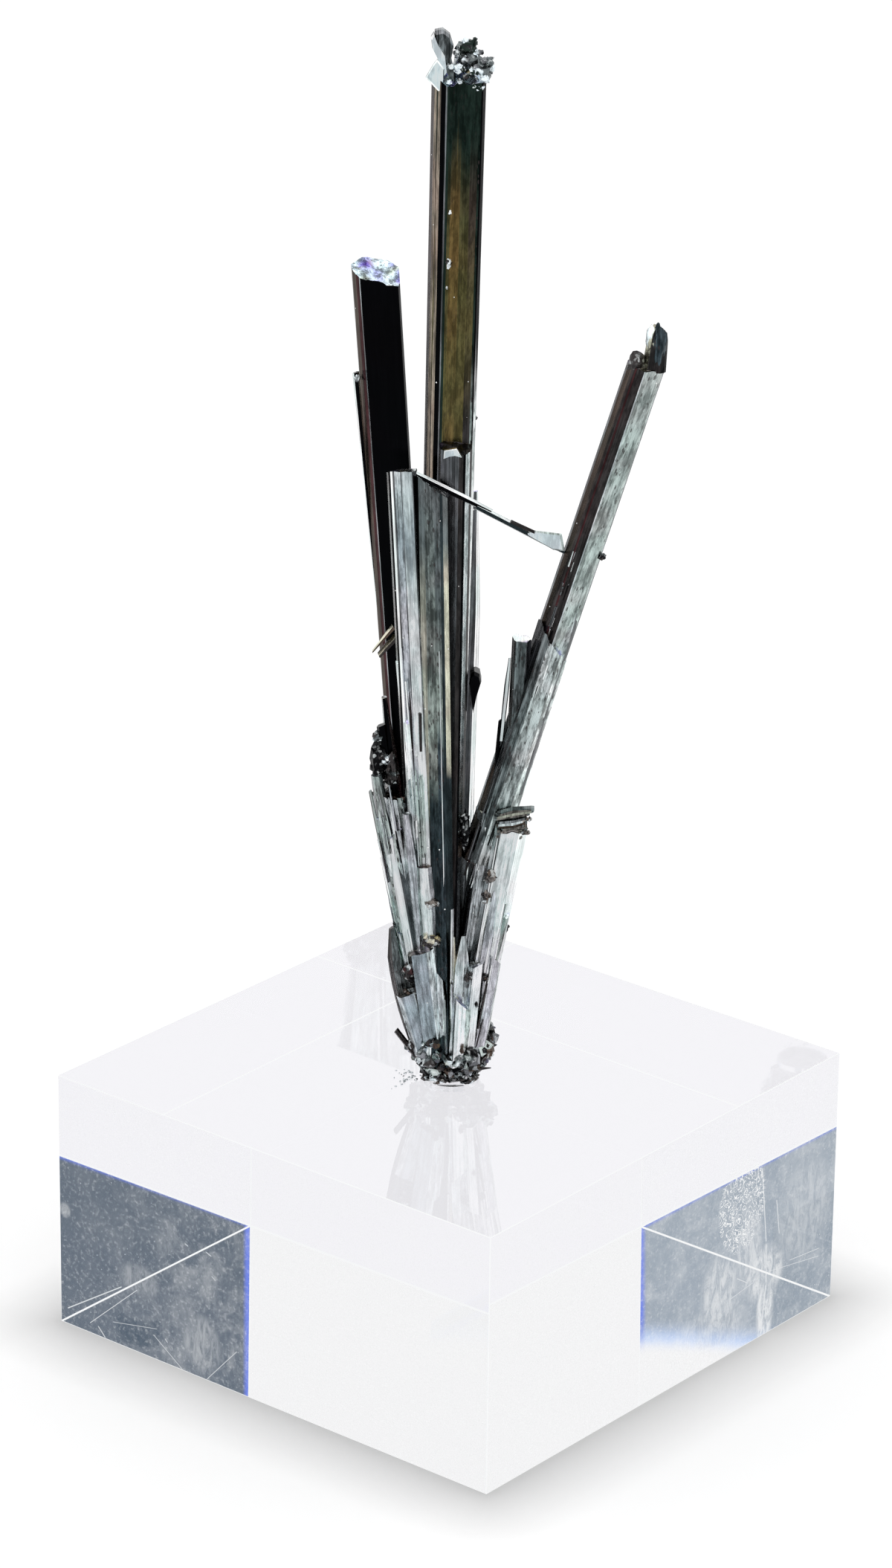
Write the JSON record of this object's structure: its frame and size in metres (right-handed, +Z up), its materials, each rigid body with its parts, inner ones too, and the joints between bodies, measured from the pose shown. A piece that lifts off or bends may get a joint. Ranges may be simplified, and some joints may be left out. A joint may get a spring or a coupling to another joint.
{
  "type": "stibnite crystal specimen on an acrylic block",
  "caption": "Spray of long striated stibnite prisms, the centre one tallest, glued upright in a shallow socket in a square clear acrylic block.",
  "frame": {"origin": "centre of the block's underside", "axes": "+Z up along the spray; +X and +Y square to two of the block's sides"},
  "size_m": [0.0508, 0.0508, 0.1218],
  "materials": {
    "acrylic": "clear polished cast acrylic with finely eased edges, fine scratches and a scuffed patch on one side",
    "adhesive": "clear set glue, slightly milky",
    "stibnite": "metallic lead grey, striated lengthwise, tarnished black, olive and dark red on the old faces"
  },
  "bodies": {
    "root": {"acrylic_block": "acrylic", "adhesive_ring": "adhesive", "stibnite_spray": "stibnite"}
  },
  "joints": []
}
